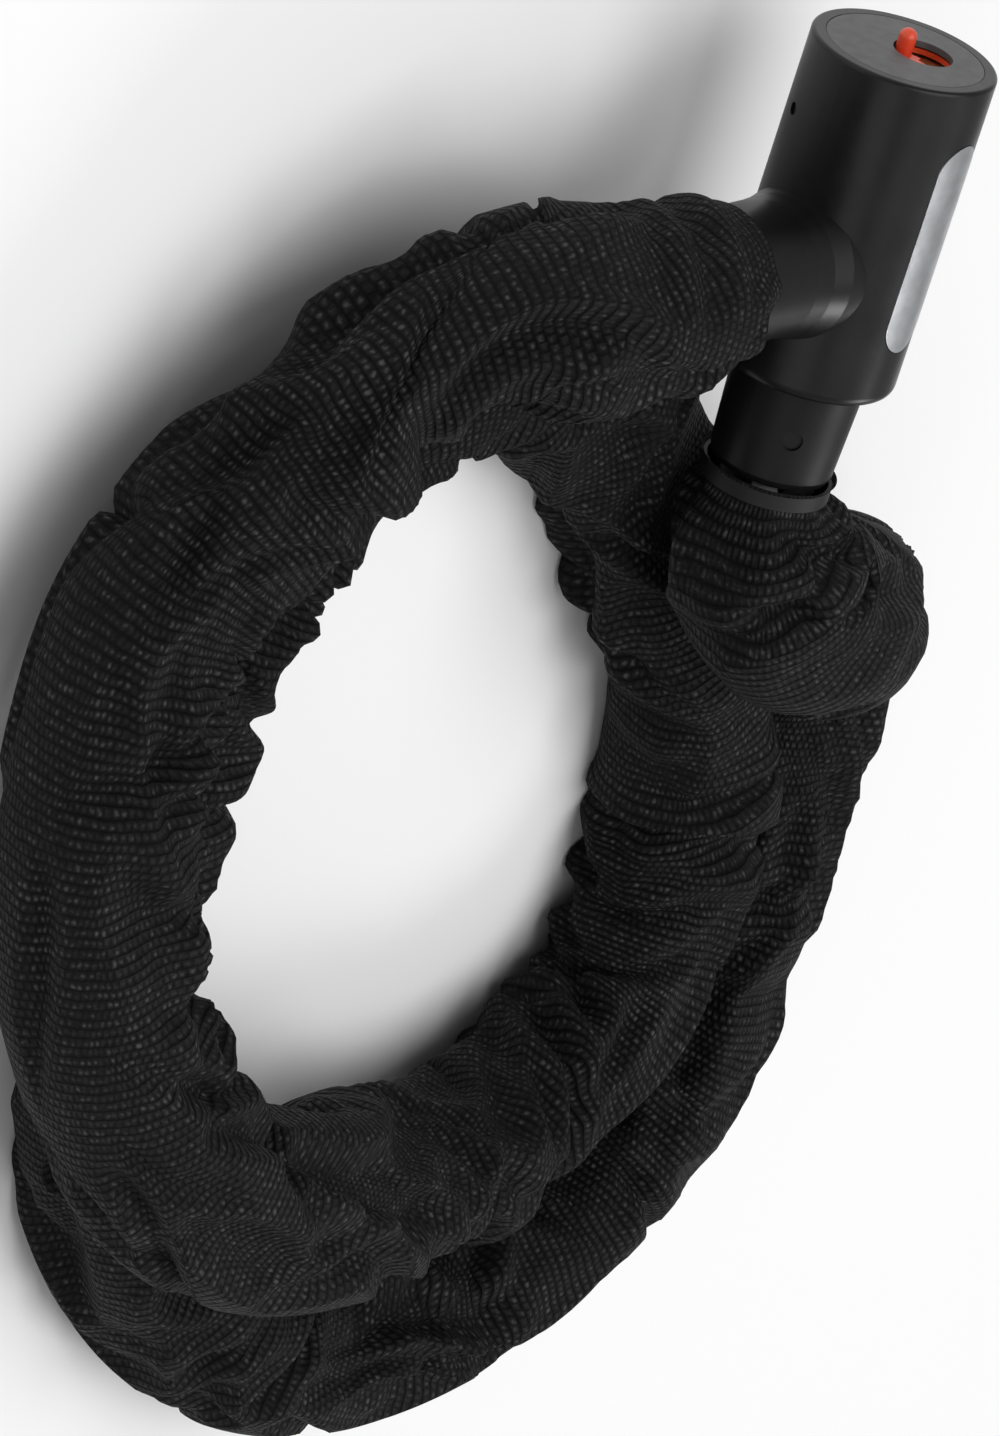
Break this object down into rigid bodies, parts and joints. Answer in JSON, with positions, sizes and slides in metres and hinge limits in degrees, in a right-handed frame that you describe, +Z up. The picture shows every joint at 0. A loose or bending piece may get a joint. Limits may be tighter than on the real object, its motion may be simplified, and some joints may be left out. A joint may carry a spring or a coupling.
{
  "type": "sleeved chain lock",
  "caption": "Fabric-sleeved security chain lying in a coil, closed by a T-shaped cylinder head with a key dust shutter and a badge.",
  "frame": {"origin": "centre of the whole lock's outline, on the surface that it lies on", "axes": "+Z up; the head's key end points to -X, its chain collar to +X and its side boss to -Y"},
  "size_m": [0.3182, 0.2735, 0.0602],
  "materials": {
    "head_shell": "satin black powder coat",
    "key_cap": "matte dark grey",
    "dust_shutter": "orange red moulded plastic",
    "badge_plate": "brushed, no lettering",
    "cylinder_case": "satin nickel plate",
    "key_plug": "turned",
    "plug_clip": "spring steel",
    "locking_bolt": "ground",
    "bolt_plate": "pressed",
    "case_pins": "ground",
    "mouth_ring": "black",
    "ferrule": "turned and hardened",
    "ferrule_band": "black crimp band",
    "chain_steel": "square section hardened steel, zinc plated",
    "chain_collar": "satin black",
    "collar_screws": "machine screws",
    "anchor_pin": "ground",
    "sleeve": "coarse black woven nylon",
    "anchor_band": "black crimp band",
    "wafer_brass": "stamped"
  },
  "bodies": {
    "head_and_chain": {"head_shell": "head_shell", "key_cap": "key_cap", "badge_plate": "badge_plate", "cylinder_case": "cylinder_case", "bolt_plate": "bolt_plate", "case_pins": "case_pins", "mouth_ring": "mouth_ring", "end_link": "chain_steel", "last_link": "chain_steel", "chain_collar": "chain_collar", "collar_screws": "collar_screws", "anchor_pin": "anchor_pin", "sleeve": "sleeve", "anchor_band": "anchor_band", "chain_links_01": "chain_steel", "chain_links_02": "chain_steel", "chain_links_03": "chain_steel", "chain_links_04": "chain_steel", "chain_links_05": "chain_steel", "chain_links_06": "chain_steel", "chain_links_07": "chain_steel", "chain_links_08": "chain_steel", "chain_links_09": "chain_steel", "chain_links_10": "chain_steel", "chain_links_11": "chain_steel", "chain_links_12": "chain_steel", "chain_links_13": "chain_steel", "chain_links_14": "chain_steel", "chain_links_15": "chain_steel", "chain_links_16": "chain_steel", "chain_links_17": "chain_steel", "chain_links_18": "chain_steel", "chain_links_19": "chain_steel", "chain_links_20": "chain_steel", "chain_links_21": "chain_steel", "chain_links_22": "chain_steel", "chain_links_23": "chain_steel", "chain_links_24": "chain_steel", "chain_links_25": "chain_steel", "chain_links_26": "chain_steel"},
    "plug": {"key_plug": "key_plug", "plug_clip": "plug_clip"},
    "shutter": {"dust_shutter": "dust_shutter"},
    "bolt": {"locking_bolt": "locking_bolt"},
    "ferrule": {"ferrule": "ferrule", "ferrule_band": "ferrule_band"},
    "wafer_1": {"wafer_1": "wafer_brass"},
    "wafer_2": {"wafer_2": "wafer_brass"},
    "wafer_3": {"wafer_3": "wafer_brass"},
    "wafer_4": {"wafer_4": "wafer_brass"},
    "wafer_5": {"wafer_5": "wafer_brass"}
  },
  "joints": [
    {"name": "key_turn", "type": "hinge", "parent": "head_and_chain", "child": "plug", "pos_m": [-0.1138, 0.0383, 0.04405], "axis": [1, 0, 0], "range_deg": [0, 90]},
    {"name": "bolt_slide", "type": "slide", "parent": "head_and_chain", "child": "bolt", "axis": [0, 0, -1], "range_m": [0, 0.00354]},
    {"name": "ferrule_pull", "type": "slide", "parent": "head_and_chain", "child": "ferrule", "axis": [0, -1, 0], "range_m": [0, 0.013]},
    {"name": "shutter_turn", "type": "hinge", "parent": "head_and_chain", "child": "shutter", "pos_m": [-0.1538, 0.0383, 0.04405], "axis": [-1, 0, 0], "range_deg": [0, 170]},
    {"name": "wafer_1_lift", "type": "slide", "parent": "plug", "child": "wafer_1", "axis": [0, 0, 1], "range_m": [0, 0.0008], "stiffness_N_per_m": 40},
    {"name": "wafer_2_lift", "type": "slide", "parent": "plug", "child": "wafer_2", "axis": [0, 0, 1], "range_m": [0, 0.0008], "stiffness_N_per_m": 40},
    {"name": "wafer_3_lift", "type": "slide", "parent": "plug", "child": "wafer_3", "axis": [0, 0, 1], "range_m": [0, 0.0008], "stiffness_N_per_m": 40},
    {"name": "wafer_4_lift", "type": "slide", "parent": "plug", "child": "wafer_4", "axis": [0, 0, 1], "range_m": [0, 0.0008], "stiffness_N_per_m": 40},
    {"name": "wafer_5_lift", "type": "slide", "parent": "plug", "child": "wafer_5", "axis": [0, 0, 1], "range_m": [0, 0.0008], "stiffness_N_per_m": 40}
  ],
  "couplings": [
    {"joint": "bolt_slide", "follows": "key_turn", "m_per_rad": 0.0022508}
  ]
}
